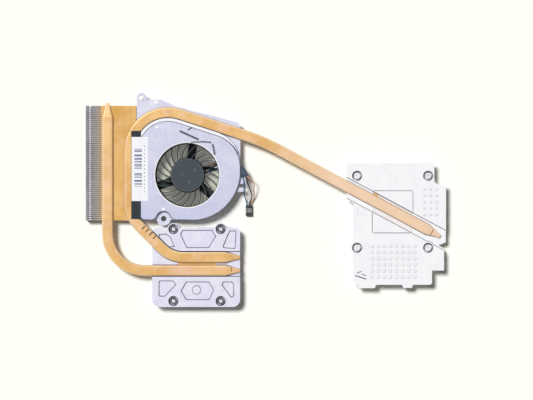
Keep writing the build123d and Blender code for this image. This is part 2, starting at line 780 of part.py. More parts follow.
def chip_block(origin, window, die):
    """A stepped copper block: the top meets the pipe, the foot stands on the chip."""
    width, length = window
    with BuildPart() as block:
        with BuildSketch(Plane((*origin, Z_PLATE - BLOCK_FLANGE_THICK))):
            Rectangle(width + 2 * BLOCK_FLANGE, length + 2 * BLOCK_FLANGE)
        extrude(amount=BLOCK_FLANGE_THICK)
        with BuildSketch(Plane((*origin, Z_PLATE - BLOCK_FLANGE_THICK - BLOCK_STAND))):
            RectangleRounded(die, die, BLOCK_STAND)
        extrude(amount=BLOCK_STAND)
        with BuildSketch(Plane((*origin, Z_PLATE))):
            Rectangle(width - 2 * BLOCK_CLEAR, length - 2 * BLOCK_CLEAR)
        extrude(amount=Z_PIPE - Z_PLATE)
    return block


cpu = (CPU_X, CPU_Y)
cpu_places = screw_places(CPU_SCREWS_X, CPU_SCREWS_Y)
half_pipe = PIPE_WIDTH / 2 + TROUGH_CLEAR
trough_top = LONG_RUN_Y + half_pipe - CPU_Y
trough_bottom = SHORT_RUN_Y - half_pipe - CPU_Y
# The corner of the trough's upper wall, which runs beside the long pipe's diagonal
trough_corner_x = LONG_X + DIAGONAL_TOP_Y - LONG_RUN_Y - CPU_X + half_pipe * math.tan(math.radians(22.5))
trough_far = 2 * CPU_LEFT
trough_far_y = trough_top + trough_corner_x - trough_far
cpu_window = (CPU_BLOCK_X, CPU_BLOCK_Y)
block_y = (LONG_RUN_Y + SHORT_RUN_Y) / 2
cpu_bosses, cpu_bores = screw_bosses(cpu, cpu_places)
with BuildPart() as cpu_plate:
    with BuildSketch(Plane((*cpu, Z_PLATE))):
        with BuildLine():
            FilletPolyline(
                (CPU_LEFT, CPU_BOTTOM), (CPU_RIGHT, CPU_BOTTOM), (CPU_RIGHT, CPU_TOP), (CPU_LEFT, CPU_TOP),
                radius=[CPU_CORNER_R, CPU_CORNER_R, CPU_TOP_CORNER_R, CPU_TOP_CORNER_R], close=True,
            )
        make_face()
    extrude(amount=PLATE_THICK)
    for outline, radius in POCKETS:
        with BuildSketch(Plane((*cpu, Z_PLATE_TOP - POCKET_DEPTH))):
            with BuildLine():
                FilletPolyline(*outline, radius=radius, close=True)
            make_face()
            with Locations(*cpu_places):
                Circle(SCREW_BOSS_R + FRAME_WALL, mode=Mode.SUBTRACT)
        extrude(amount=POCKET_DEPTH, mode=Mode.SUBTRACT)
    with BuildSketch(Plane((*cpu, Z_PLATE_TOP - POCKET_DEPTH))):
        with Locations(POCKET_BOSS):
            Circle(POCKET_BOSS_R)
    extrude(amount=POCKET_DEPTH / 2)
    with BuildSketch(Plane((*cpu, Z_PIPE))):
        with BuildLine():
            FilletPolyline(
                (trough_far, trough_bottom), (-trough_far, trough_bottom), (-trough_far, trough_top),
                (trough_corner_x, trough_top), (trough_far, trough_far_y),
                radius=[0, 0, 0, DIAGONAL_R - half_pipe, 0], close=True,
            )
        make_face()
    extrude(amount=TROUGH_DEPTH, mode=Mode.SUBTRACT)
    add(cpu_bosses)
    add(cpu_bores, mode=Mode.SUBTRACT)
    with BuildSketch(Plane((CPU_X, block_y, Z_PLATE))):
        Rectangle(*cpu_window)
    extrude(amount=Z_PIPE - Z_PLATE, mode=Mode.SUBTRACT)
save(cpu_plate.part, "cpu_plate")
cpu_block = chip_block((CPU_X, block_y), cpu_window, DIE_SIZE)
save(cpu_block.part, "cpu_contact_block")

gpu = (GPU_X, GPU_Y)
gpu_places = screw_places(GPU_SCREWS_X, GPU_SCREWS_Y)
long_corners = long_pipe_corners()
graphics_run = Vector(*long_corners[-1]) - Vector(*long_corners[-2])
graphics_angle = math.degrees(math.atan2(graphics_run.Y, graphics_run.X))
pipe_drop = long_corners[-2][1] + (GPU_X - KINK_X) * math.tan(math.radians(graphics_angle)) - GPU_Y
with BuildSketch() as gpu_trough:
    with Locations(Location((0, pipe_drop), graphics_angle)):
        Rectangle(4 * GPU_SCREWS_X, TROUGH_ABOVE, align=(Align.CENTER, Align.MIN))
        Rectangle(4 * GPU_SCREWS_X, TROUGH_BELOW, align=(Align.CENTER, Align.MAX))
gpu_bosses, gpu_bores = screw_bosses(gpu, gpu_places)
gpu_corners = [corner for corner, radius in GPU_OUTLINE]
gpu_radii = [radius for corner, radius in GPU_OUTLINE]
with BuildPart() as gpu_plate:
    with BuildSketch(Plane((*gpu, Z_PLATE))):
        with BuildLine():
            FilletPolyline(*gpu_corners, radius=gpu_radii, close=True)
        make_face()
    extrude(amount=PLATE_THICK)
    with BuildSketch(Plane((*gpu, Z_PLATE_TOP))):
        RectangleRounded(GPU_PAD_X, GPU_PAD_Y, GPU_PAD_R)
    extrude(amount=GPU_PAD_RISE)
    with BuildSketch(Plane((*gpu, Z_PIPE))):
        add(gpu_trough.sketch)
    extrude(amount=TROUGH_DEPTH + GPU_PAD_RISE, mode=Mode.SUBTRACT)
    add(gpu_bosses)
    add(gpu_bores, mode=Mode.SUBTRACT)
    with BuildSketch(Plane((*gpu, Z_PLATE))):
        Rectangle(GPU_PAD_X, GPU_PAD_Y)
        add(gpu_trough.sketch, mode=Mode.INTERSECT)
        offset(amount=-TROUGH_CLEAR, kind=Kind.INTERSECTION)
    extrude(amount=Z_PIPE - Z_PLATE, mode=Mode.SUBTRACT)
save(gpu_plate.part, "gpu_plate")

with BuildPart() as gpu_block:
    with BuildSketch(Plane((*gpu, Z_PLATE - BLOCK_FLANGE_THICK))):
        RectangleRounded(GPU_PAD_X + BLOCK_FLANGE, GPU_PAD_Y + BLOCK_FLANGE, BLOCK_FLANGE)
    extrude(amount=BLOCK_FLANGE_THICK)
    with BuildSketch(Plane((*gpu, Z_PLATE - BLOCK_FLANGE_THICK - BLOCK_STAND))):
        RectangleRounded(DIE_SIZE, DIE_SIZE, BLOCK_STAND)
    extrude(amount=BLOCK_STAND)
    with BuildSketch(Plane((*gpu, Z_PLATE))):
        Rectangle(GPU_PAD_X, GPU_PAD_Y)
        add(gpu_trough.sketch, mode=Mode.INTERSECT)
        offset(amount=-TROUGH_CLEAR - BLOCK_CLEAR, kind=Kind.INTERSECTION)
    extrude(amount=Z_PIPE - Z_PLATE)
save(gpu_block.part, "gpu_contact_block")


# Captive screws


def captive_screw(x, y):
    """A shouldered screw with a crossed recess, its coil spring and its retaining clip."""
    z_groove = Z_BOSS - CLIP_GAP - CLIP_THICK - FIT
    with BuildPart() as screw:
        with BuildSketch(Plane((x, y, THREAD_LENGTH))):
            Circle(SHANK_R)
        extrude(amount=Z_HEAD - THREAD_LENGTH)
        with BuildSketch(Plane((x, y, 0))):
            Circle(THREAD_R)
        extrude(amount=THREAD_LENGTH)
        chamfer(screw.edges().group_by(Axis.Z)[0], THREAD_R / 4)
        with BuildSketch(Plane((x, y, Z_HEAD))):
            Circle(HEAD_R)
        extrude(amount=HEAD_HEIGHT)
        chamfer(screw.edges().group_by(Axis.Z)[-1], HEAD_HEIGHT / 5)
        with BuildSketch(Plane((x, y, Z_HEAD + HEAD_HEIGHT - RECESS_DEPTH))):
            Rectangle(RECESS_LENGTH, RECESS_WIDTH)
            Rectangle(RECESS_WIDTH, RECESS_LENGTH)
        extrude(amount=RECESS_DEPTH, mode=Mode.SUBTRACT)
        with BuildSketch(Plane((x, y, z_groove))):
            Circle(2 * SHANK_R)
            Circle(SHANK_R - GROOVE_DEPTH, mode=Mode.SUBTRACT)
        extrude(amount=CLIP_THICK + 2 * FIT, mode=Mode.SUBTRACT)
    with BuildPart() as clip:
        with BuildSketch(Plane((x, y, z_groove + FIT))):
            Circle(CLIP_R)
            Circle(SHANK_R - GROOVE_DEPTH + FIT, mode=Mode.SUBTRACT)
            with Locations((0, -CLIP_R)):
                Rectangle(SHANK_R, 2 * CLIP_R, mode=Mode.SUBTRACT)
        extrude(amount=CLIP_THICK)
    coil_height = SPRING_LENGTH - SPRING_WIRE - 2 * FIT
    coil_base = (x, y, Z_SPRING + FIT + SPRING_WIRE / 2)
    with BuildPart() as spring:
        with BuildLine() as path:
            Helix(coil_height / SPRING_TURNS, coil_height, SPRING_R, center=coil_base)
        # Six sides are enough for the wire of a spring that its screw and boss hide
        with BuildSketch(Plane(path.line @ 0, z_dir=path.line % 0)):
            RegularPolygon(SPRING_WIRE / 2, 6)
        sweep(path=path.line, is_frenet=True)
    return screw.part, spring.part, clip.part


for plate, (origin_x, origin_y), places in (("cpu", cpu, cpu_places), ("gpu", gpu, gpu_places)):
    for number, (screw_x, screw_y) in enumerate(places, 1):
        screw_part, spring_part, clip_part = captive_screw(origin_x + screw_x, origin_y + screw_y)
        save(screw_part, f"{plate}_screw_{number}")
        save(spring_part, f"{plate}_spring_{number}")
        save(clip_part, f"{plate}_clip_{number}")


# Foam strip and label

z_label = FAN_HEIGHT + STRIP_THICK
with BuildPart() as strip:
    with BuildSketch(Plane.XY.offset(FAN_HEIGHT)):
        with Locations((STRIP_LEFT, STRIP_BOTTOM)):
            Rectangle(STRIP_RIGHT - STRIP_LEFT, STRIP_TOP - STRIP_BOTTOM, align=(Align.MIN, Align.MIN))
    extrude(amount=STRIP_THICK)
save(strip.part, "foam_strip")

with BuildPart() as label:
    with BuildSketch(Plane.XZ.offset(-LABEL_BOTTOM)):
        with BuildLine():
            Polyline(
                (LABEL_LEFT, z_label), (STRIP_RIGHT + FIT, z_label), (STRIP_RIGHT + FIT, FAN_HEIGHT),
                (LABEL_RIGHT, FAN_HEIGHT), (LABEL_RIGHT, FAN_HEIGHT + LABEL_THICK),
                (STRIP_RIGHT + FIT + LABEL_THICK, FAN_HEIGHT + LABEL_THICK),
                (STRIP_RIGHT + FIT + LABEL_THICK, z_label + LABEL_THICK),
                (LABEL_LEFT, z_label + LABEL_THICK), close=True,
            )
        make_face()
    extrude(amount=LABEL_BOTTOM - LABEL_TOP)
save(label.part, "paper_label")


# Fan lead

sleeve_end = toward(LEAD_ROUTE[-1], LEAD_ROUTE[-2], SLEEVE_CUT)
with BuildPart() as lead_sleeve:
    with BuildLine() as path:
        FilletPolyline(*LEAD_ROUTE[-3:-1], sleeve_end, radius=SLEEVE_BEND_R)
    heading = path.line % 0
    across = Vector(-heading.Y, heading.X, 0)
    for inset, mode in ((0, Mode.ADD), (SLEEVE_WALL, Mode.SUBTRACT)):
        with BuildSketch(Plane(path.line @ 0, x_dir=across, z_dir=heading)):
            SlotOverall(SLEEVE_WIDTH - 2 * inset, SLEEVE_THICK - 2 * inset)
        sweep(path=path.line, mode=mode)
save(lead_sleeve.part, "lead_sleeve")


def side_by_side(route, shift):
    """The same route moved to its left, in the plan, by shift."""
    moved = []
    for i, corner in enumerate(route):
        before = Vector(*route[max(i - 1, 0)])
        after = Vector(*route[min(i + 1, len(route) - 1)])
        turn = math.atan2(after.Y - before.Y, after.X - before.X)
        moved.append((corner[0] - shift * math.sin(turn), corner[1] + shift * math.cos(turn), corner[2]))
    return moved


def bend_radii(points):
    """The radius at each inner corner of a lead: as wide as its two runs allow."""
    radii = []
    for before, corner, after in zip(points, points[1:], points[2:]):
        leg_in = Vector(*corner) - Vector(*before)
        leg_out = Vector(*after) - Vector(*corner)
        half_turn = math.radians(leg_in.get_angle(leg_out)) / 2
        radii.append(0.45 * min(leg_in.length, leg_out.length) / math.tan(half_turn))
    return radii


plug_top = PLUG_Y + PLUG_LENGTH / 2
board_x, board_y = at(BOARD_R + PLUG_GAP, LEAD_BEARING)
lead_start = (FAN_X + board_x, FAN_Y + board_y, LEAD_ROUTE[0][2])
for slot, (colour, loose) in enumerate(WIRES.items()):
    shift = (slot - 1.5) * WIRE_PITCH
    points = [
        *side_by_side([lead_start, *LEAD_ROUTE], shift),
        *loose,
        (PLUG_X + shift, plug_top + PLUG_GAP, PLUG_HEIGHT / 2),
    ]
    radii = bend_radii(points)
    print(colour, "wire radii", [round(radius, 1) for radius in radii])
    with BuildPart() as wire:
        with BuildLine() as path:
            FilletPolyline(*points, radius=radii)
        with BuildSketch(Plane(path.line @ 0, z_dir=path.line % 0)):
            Circle(WIRE_D / 2)
        sweep(path=path.line)
    print(colour, "wire length", round(sum(edge.length for edge in path.line.edges()), 1))
    save(wire.part, f"lead_wire_{colour}")

plug_slots = [((slot - 1.5) * WIRE_PITCH, 0) for slot in range(len(WIRES))]
plug_plane = Plane((PLUG_X, PLUG_Y, 0))
with BuildPart() as plug:
    with BuildSketch(plug_plane):
        Rectangle(PLUG_WIDTH, PLUG_LENGTH)
    extrude(amount=PLUG_HEIGHT)
    chamfer(plug.edges().filter_by(Axis.Z), PLUG_CHAMFER)
    with BuildSketch(plug_plane.offset(PLUG_HEIGHT - CONTACT_DEPTH)):
        with Locations(*plug_slots):
            Rectangle(CONTACT_WIDTH + 2 * PLUG_CHAMFER, CONTACT_LENGTH)
    extrude(amount=CONTACT_DEPTH, mode=Mode.SUBTRACT)
    with BuildSketch(Plane.XZ.offset(-PLUG_Y + PLUG_LENGTH / 2)):
        with Locations(*[(PLUG_X + x, PLUG_HEIGHT / 2) for x, y in plug_slots]):
            Rectangle(CONTACT_WIDTH, CONTACT_WIDTH)
    extrude(amount=-CONTACT_LENGTH / 2, mode=Mode.SUBTRACT)
save(plug.part, "lead_connector")

with BuildPart() as contacts:
    with BuildSketch(plug_plane.offset(PLUG_HEIGHT - CONTACT_DEPTH)):
        with Locations(*plug_slots):
            Rectangle(CONTACT_WIDTH, CONTACT_LENGTH - PLUG_CHAMFER)
    extrude(amount=CONTACT_DEPTH - PLUG_CHAMFER)
save(contacts.part, "lead_contacts")
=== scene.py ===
import json
import math

import bmesh
import bpy
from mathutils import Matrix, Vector


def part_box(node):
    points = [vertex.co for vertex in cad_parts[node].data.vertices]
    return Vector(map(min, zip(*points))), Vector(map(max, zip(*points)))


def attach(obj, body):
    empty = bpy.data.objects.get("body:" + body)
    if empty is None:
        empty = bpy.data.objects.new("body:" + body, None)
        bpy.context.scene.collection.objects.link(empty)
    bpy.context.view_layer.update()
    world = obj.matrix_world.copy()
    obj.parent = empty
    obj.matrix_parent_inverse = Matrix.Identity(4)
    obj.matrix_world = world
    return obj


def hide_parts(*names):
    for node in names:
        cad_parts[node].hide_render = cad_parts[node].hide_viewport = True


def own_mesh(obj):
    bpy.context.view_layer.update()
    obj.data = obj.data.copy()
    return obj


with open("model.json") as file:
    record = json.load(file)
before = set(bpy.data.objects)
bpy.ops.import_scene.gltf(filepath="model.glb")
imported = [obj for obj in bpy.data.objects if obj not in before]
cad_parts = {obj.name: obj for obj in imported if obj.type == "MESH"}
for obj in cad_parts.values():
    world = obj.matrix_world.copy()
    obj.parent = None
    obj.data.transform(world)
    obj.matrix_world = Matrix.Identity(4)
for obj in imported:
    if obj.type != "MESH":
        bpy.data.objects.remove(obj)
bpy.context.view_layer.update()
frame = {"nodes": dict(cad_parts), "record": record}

nodes = frame["nodes"]


MM = 0.001

# Places of the main modules, as in the CAD
FAN = (-60.4 * MM, 19.1 * MM)
CPU = (-52.9 * MM, -50.2 * MM)
GPU = (97.7 * MM, -9.2 * MM)

# Heights above which a mark lies on the upper side of its piece
COVER_FACE = 11.8 * MM
PIPE_FACE = 10.6 * MM
PLATE_FACE = 10.5 * MM
BLOCK_FACE = 8.5 * MM

# Radii about the fan's axis
INLET_RIM_R = 24.95 * MM
SEAM_FROM_R = 26.2 * MM
HUB_EDGE_R = 12.4 * MM
UNDER_FAN_R = 28.5 * MM

# Places of the screws, from the middle of their plate
CPU_SCREW_X = 18.2 * MM
GPU_SCREW_X = 27.35 * MM
SCREW_Y = 27.7 * MM

# Fins
FIN_COUNT = 55
FLANGE_GAP = 0.06 * MM

# Light and camera
FLOOR_GLOW = 0.03
UNDER_FAN_GLOW = 0.13
SKY = 0.08
SUN = 2.70
SHINE = 0.5
REFLECTED = 0.80
WINDOW = (-0.37, 0.37, 1.0)
WINDOW_WIDTH = math.radians(17)
PHOTO_PIXELS = 533
PIXEL = 0.77 * MM
VIEW_MIDDLE = (0.58 * MM, -0.12 * MM)
VIEW_DISTANCE = 1.6
VIEW_LEVEL = 11 * MM


# Node trees


def rgb(red, green, blue):
    """A screen colour from 0 to 255 as the linear colour that Blender wants."""
    linear = []
    for value in (red, green, blue):
        value = value / 255
        linear.append(value / 12.92 if value <= 0.04045 else ((value + 0.055) / 1.055) ** 2.4)
    return (*linear, 1)


INK = rgb(62, 58, 70)


class Shade:
    """One material and short calls for the nodes that it is made of."""

    def __init__(self, name, metal=0.0, rough=0.5):
        self.name = name
        self.material = bpy.data.materials.new(name)
        self.material.use_nodes = True
        self.tree = self.material.node_tree
        self.tree.nodes.clear()
        self.out = self.node("ShaderNodeOutputMaterial")
        self.surface = self.node("ShaderNodeBsdfPrincipled")
        self.tree.links.new(self.surface.outputs[0], self.out.inputs[0])
        self.surface.inputs["Metallic"].default_value = metal
        self.surface.inputs["Roughness"].default_value = rough
        coordinates = self.node("ShaderNodeTexCoord")
        self.place = coordinates.outputs["Object"]
        self.facing = coordinates.outputs["Normal"]

    def node(self, kind, **settings):
        """A new node with its settings."""
        made = self.tree.nodes.new(kind)
        for name, value in settings.items():
            setattr(made, name, value)
        return made

    def feed(self, socket, value):
        """Links a node's output to a socket, or sets the socket to a plain value."""
        if isinstance(value, bpy.types.NodeSocket):
            self.tree.links.new(value, socket)
        else:
            socket.default_value = value

    def set(self, name, value):
        """Feeds one of the surface's own sockets."""
        self.feed(self.surface.inputs[name], value)

    def paint(self, tone):
        """Takes tone as the surface's colour, and keeps it for the next layer."""
        self.tone = tone
        self.set("Base Color", tone)
        return self

    def stretch(self, scale, move=(0, 0, 0), turn=0.0):
        """The place, scaled, moved and turned about Z, for a noise to be read at."""
        mapping = self.node("ShaderNodeMapping")
        self.feed(mapping.inputs["Vector"], self.place)
        mapping.inputs["Scale"].default_value = scale
        mapping.inputs["Location"].default_value = move
        mapping.inputs["Rotation"].default_value = (0, 0, turn)
        return mapping.outputs[0]

    def noise(self, size, detail=2.0, rough=0.5, place=None):
        """Noise whose blobs are about size metres across."""
        made = self.node("ShaderNodeTexNoise")
        self.feed(made.inputs["Vector"], place or self.place)
        made.inputs["Scale"].default_value = 1 / size
        made.inputs["Detail"].default_value = detail
        made.inputs["Roughness"].default_value = rough
        return made.outputs["Fac"]

    def maths(self, operation, a, b=0.0, clamp=False):
        """One step of arithmetic."""
        made = self.node("ShaderNodeMath", operation=operation, use_clamp=clamp)
        self.feed(made.inputs[0], a)
        self.feed(made.inputs[1], b)
        return made.outputs[0]

    def times(self, first, *others):
        """The product of masks and numbers."""
        for other in others:
            first = self.maths("MULTIPLY", first, other)
        return first

    def minus(self, a, b):
        """a less b."""
        return self.maths("SUBTRACT", a, b)

    def over(self, a, b):
        """1 where a is greater than b, 0 elsewhere."""
        return self.maths("GREATER_THAN", a, b)

    def span(self, value, low, high, start=0.0, end=1.0):
        """Maps low..high to start..end, held at both ends."""
        made = self.node("ShaderNodeMapRange")
        self.feed(made.inputs[0], value)
        for socket, number in zip(made.inputs[1:5], (low, high, start, end)):
            socket.default_value = number
        return made.outputs[0]

    def mix(self, share, a, b):
        """A colour from a to b, by share."""
        made = self.node("ShaderNodeMix", data_type="RGBA")
        self.feed(made.inputs["Factor"], share)
        self.feed(made.inputs[6], a)
        self.feed(made.inputs[7], b)
        return made.outputs[2]

    def axes(self, place=None):
        """X, Y and Z of the place, or of another vector."""
        made = self.node("ShaderNodeSeparateXYZ")
        self.feed(made.inputs[0], place or self.place)
        return made.outputs[0], made.outputs[1], made.outputs[2]

    def height(self):
        """Z of the place."""
        return self.axes()[2]

    def centred(self, middle):
        """X and Y of the plan, measured from a point."""
        x, y, _ = self.axes()
        return self.minus(x, middle[0]), self.minus(y, middle[1])

    def inside(self, x, y, low_x, high_x, low_y, high_y):
        """1 inside a rectangle of the plan, 0 outside."""
        share = 1.0
        for value, low, high in ((x, low_x, high_x), (y, low_y, high_y)):
            share = self.times(share, self.over(value, low), self.maths("LESS_THAN", value, high))
        return share

    def disc(self, x, y, radius, soft=0.1 * MM, thin=0.0):
        """1 inside a circle about x = y = 0, or on a ring of that radius if thin is given."""
        reach = self.maths("SQRT", self.maths("ADD", self.times(x, x), self.times(y, y)))
        if thin:
            reach = self.maths("ABSOLUTE", self.minus(reach, radius))
            radius = thin
        return self.span(reach, radius - soft, radius + soft, 1.0, 0.0)

    def stroke(self, start, end, half_width):
        """1 along a straight pen stroke of the plan, in metres, with round ends."""
        flat = self.node("ShaderNodeVectorMath", operation="MULTIPLY")
        self.feed(flat.inputs[0], self.place)
        flat.inputs[1].default_value = (1, 1, 0)
        from_start = self.node("ShaderNodeVectorMath", operation="SUBTRACT")
        self.feed(from_start.inputs[0], flat.outputs[0])
        from_start.inputs[1].default_value = (*start, 0)
        run = (end[0] - start[0], end[1] - start[1], 0)
        length = math.hypot(run[0], run[1])
        along = self.node("ShaderNodeVectorMath", operation="DOT_PRODUCT")
        self.feed(along.inputs[0], from_start.outputs[0])
        along.inputs[1].default_value = (run[0] / length ** 2, run[1] / length ** 2, 0)
        share = self.maths("MULTIPLY", along.outputs["Value"], 1.0, clamp=True)
        nearest = self.node("ShaderNodeVectorMath", operation="SCALE")
        nearest.inputs[0].default_value = run
        self.feed(nearest.inputs["Scale"], share)
        gap = self.node("ShaderNodeVectorMath", operation="DISTANCE")
        self.feed(gap.inputs[0], from_start.outputs[0])
        self.feed(gap.inputs[1], nearest.outputs[0])
        soft = half_width * 0.35
        return self.span(gap.outputs["Value"], half_width - soft, half_width + soft, 1.0, 0.0)

    def strokes(self, tone, pen, lines, face):
        """Pen strokes on what lies above face: lines holds (start, end, half width) in millimetres."""
        uneven = self.span(self.noise(1.1 * MM), 0.25, 0.55, 0.72, 0.95)
        uneven = self.times(uneven, self.over(self.height(), face))
        for start, end, half_width in lines:
            start = (start[0] * MM, start[1] * MM)
            end = (end[0] * MM, end[1] * MM)
            mask = self.stroke(start, end, half_width * MM)
            tone = self.mix(self.times(mask, uneven), tone, pen)
        return tone

    def painted_corner_shade(self, tone, colour, reach, share=0.8, low=0.55, high=0.92):
        """Painted shade in the corners: a darker colour where other surfaces stand closer than reach."""
        near = self.node("ShaderNodeAmbientOcclusion", samples=8)
        near.inputs["Distance"].default_value = reach
        return self.mix(self.span(near.outputs["AO"], low, high, share, 0.0), tone, colour)

    def rim_mask(self, reach):
        """1 along the edges of a solid, within reach of them."""
        rounded = self.node("ShaderNodeBevel", samples=8)
        rounded.inputs["Radius"].default_value = reach
        lean = self.node("ShaderNodeVectorMath", operation="DOT_PRODUCT")
        self.feed(lean.inputs[0], rounded.outputs[0])
        self.feed(lean.inputs[1], self.node("ShaderNodeNewGeometry").outputs["Normal"])
        return self.span(lean.outputs["Value"], 0.90, 0.995, 1.0, 0.0)

    def sides(self, tone, colour, share, low=0.15, high=0.6):
        """Painted shade: a darker colour on faces that look neither up nor down."""
        rise = self.maths("ABSOLUTE", self.axes(self.facing)[2])
        return self.mix(self.span(rise, low, high, share, 0.0), tone, colour)

    def lit_edges(self, tone, colour):
        """A pale line where a rounded edge begins to turn, stronger towards the window at -X +Y."""
        x, y, z = self.axes(self.facing)
        turn = self.times(self.span(z, 0.97, 0.90), self.span(z, 0.55, 0.70))
        window = self.span(self.minus(y, x), -0.5, 0.5, 0.35, 0.95)
        return self.mix(self.times(turn, window), tone, colour)

    def bump(self, height, strength, distance, normal=None):
        """A bumped normal, on top of another if one is given."""
        made = self.node("ShaderNodeBump")
        self.feed(made.inputs["Height"], height)
        made.inputs["Strength"].default_value = strength
        made.inputs["Distance"].default_value = distance
        if normal:
            self.feed(made.inputs["Normal"], normal)
        return made.outputs[0]


# Kinds of material


def metal(name, light, dark, grain, metallic, rough, grain_depth=0.02, speck=0.20):
    """Cast or rolled metal: broad stains, a fine grain in its colour, gloss and height, and bright scuffs."""
    shade = Shade(name, metal=metallic, rough=rough)
    broad = shade.noise(12 * MM, 4.0, 0.6)
    fine = shade.noise(grain, 3.0, 0.65)
    tone = shade.mix(shade.span(broad, 0.36, 0.64), dark, light)
    tone = shade.mix(shade.span(fine, 0.30, 0.72, speck, 0.0), tone, rgb(128, 126, 146))
    scuff = shade.noise(3.2 * MM, place=shade.stretch((0.14, 2.4, 1.0), turn=0.5))
    tone = shade.mix(shade.span(scuff, 0.68, 0.80, 0.0, 0.45), tone, rgb(252, 252, 254))
    shade.set("Roughness", shade.span(fine, 0.25, 0.75, rough - 0.07, rough + 0.08))
    shade.set("Normal", shade.bump(fine, 0.35, grain_depth * MM))
    return shade.paint(tone)


def copper(name, light, dark, pink, along, rough=0.32):
    """Drawn copper: cloudy tints, faint paler streaks, painted highlights where rounded edges turn, painted
    shade on upright faces, and small dents.
    """
    shade = Shade(name, metal=0.55, rough=rough)
    tint = shade.noise(16 * MM, 4.0, 0.6)
    tone = shade.mix(shade.span(tint, 0.36, 0.62), dark, light)
    blush = shade.noise(11 * MM, 3.0, 0.6, place=shade.stretch((1, 1, 1), move=(0.031, 0.07, 0)))
    tone = shade.mix(shade.span(blush, 0.50, 0.68, 0.0, 0.75), tone, pink)
    streak = shade.noise(2 * MM, 3.0, 0.6, place=shade.stretch(along))
    tone = shade.mix(shade.span(streak, 0.38, 0.75, 0.0, 0.18), tone, rgb(252, 224, 184))
    shade.set("Roughness", shade.span(tint, 0.3, 0.8, rough - 0.04, rough + 0.08))
    shade.set("Normal", shade.bump(shade.noise(7 * MM), 0.12, 0.05 * MM))
    tone = shade.lit_edges(tone, rgb(255, 234, 196))
    return shade.paint(shade.sides(tone, rgb(140, 92, 46), 0.7))


def plastic(name, colour, worn, rough=0.45, grain=0.4 * MM):
    """Moulded plastic, paint or paper with a fine spark texture and paler wear."""
    shade = Shade(name, rough=rough)
    fine = shade.noise(grain, rough=0.6)
    broad = shade.noise(6 * MM, 3.0)
    shade.set("Roughness", shade.span(fine, 0.3, 0.7, rough - 0.08, rough + 0.1))
    shade.set("Normal", shade.bump(fine, 0.25, 0.01 * MM))
    return shade.paint(shade.mix(shade.span(broad, 0.45, 0.75, 0.0, 0.5), colour, worn))


# Materials of the pieces, each named after its slot


def cast_frame():
    """The fan's casting: painted shade on its upright faces and in its corners, and a pale worn rim."""
    shade = metal("cast_frame", rgb(234, 234, 249), rgb(218, 218, 240), 1.0 * MM, 0.30, 0.40)
    rim = shade.span(shade.height(), 11.65 * MM, 11.85 * MM)
    tone = shade.mix(shade.times(rim, 0.8), shade.tone, rgb(254, 254, 255))
    tone = shade.sides(tone, rgb(96, 96, 122), 0.5, 0.2, 0.6)
    return shade.paint(shade.painted_corner_shade(tone, rgb(60, 60, 82), 1.0 * MM, 0.9))


def cover_sheet():
    """The fan's cover: darker below, painted shade along the seam round its edge, a bright inlet rim and pen
    strokes.
    """
    shade = metal(
        "cover_sheet", rgb(232, 232, 250), rgb(218, 219, 243), 1.1 * MM, 0.30, 0.42, 0.03, speck=0.32)
    x, y = shade.centred(FAN)
    tone = shade.mix(shade.span(y, -34 * MM, 6 * MM, 0.5, 0.0), shade.tone, rgb(196, 198, 228))
    # Painted shade: a dark line on the rounded edges outside the seam radius, along the seam with the frame
    # and the free outer edge.
    outside = shade.maths("SUBTRACT", 0.95, shade.disc(x, y, SEAM_FROM_R), clamp=True)
    tone = shade.mix(shade.times(shade.rim_mask(1.15 * MM), outside), tone, rgb(46, 48, 74))
    inlet_rim = shade.disc(x, y, INLET_RIM_R, soft=0.22 * MM, thin=0.42 * MM)
    tone = shade.mix(inlet_rim, tone, rgb(255, 255, 255))
    return shade.paint(shade.strokes(tone, INK, [
        ((-65.6, 52.7), (-52.2, 46.6), 0.80),
        ((-57.0, 55.5), (-59.6, 54.0), 0.60),
        ((-57.1, 44.2), (-49.0, 44.7), 0.50),
        ((-49.0, 44.7), (-42.4, 44.2), 0.60),
        ((-40.7, 42.4), (-39.2, 35.2), 0.68),
    ], COVER_FACE))


def cast_cpu():
    """The processor plate's casting, with painted shade on its upright faces and in its pockets."""
    shade = metal("cast_cpu", rgb(244, 243, 255), rgb(231, 230, 250), 0.9 * MM, 0.25, 0.40)
    tone = shade.sides(shade.tone, rgb(110, 110, 134), 0.5, 0.2, 0.6)
    return shade.paint(shade.painted_corner_shade(tone, rgb(52, 54, 76), 1.1 * MM, 0.95, 0.66, 0.97))


def dot_grid(shade, tone, first, pitch, count, radius):
    """A grid of shallow round dimples: a crescent of painted shade, darker on one side of each and pale on
    the other.
    """
    x, y, z = shade.axes()
    upper = shade.over(z, PLATE_FACE)
    from_dot = []
    for value, start, step, number in zip((x, y), first, pitch, count):
        steps = shade.maths("DIVIDE", shade.minus(value, start), step)
        nearest = shade.maths("MINIMUM", shade.maths("ROUND", steps), number - 1)
        nearest = shade.maths("MAXIMUM", nearest, 0.0)
        from_dot.append(shade.times(shade.minus(steps, nearest), step))
    u, v = from_dot
    ring = shade.disc(u, v, radius, soft=0.2 * MM, thin=0.3 * MM)
    # Painted shade: the crescent is darker towards +X -Y and faint towards -X +Y.
    lean = shade.span(shade.minus(u, v), -radius, radius, 0.05, 0.70)
    tone = shade.mix(shade.times(ring, lean, upper), tone, rgb(160, 160, 180))
    return tone, shade.times(shade.disc(u, v, radius, soft=0.4 * MM), upper)


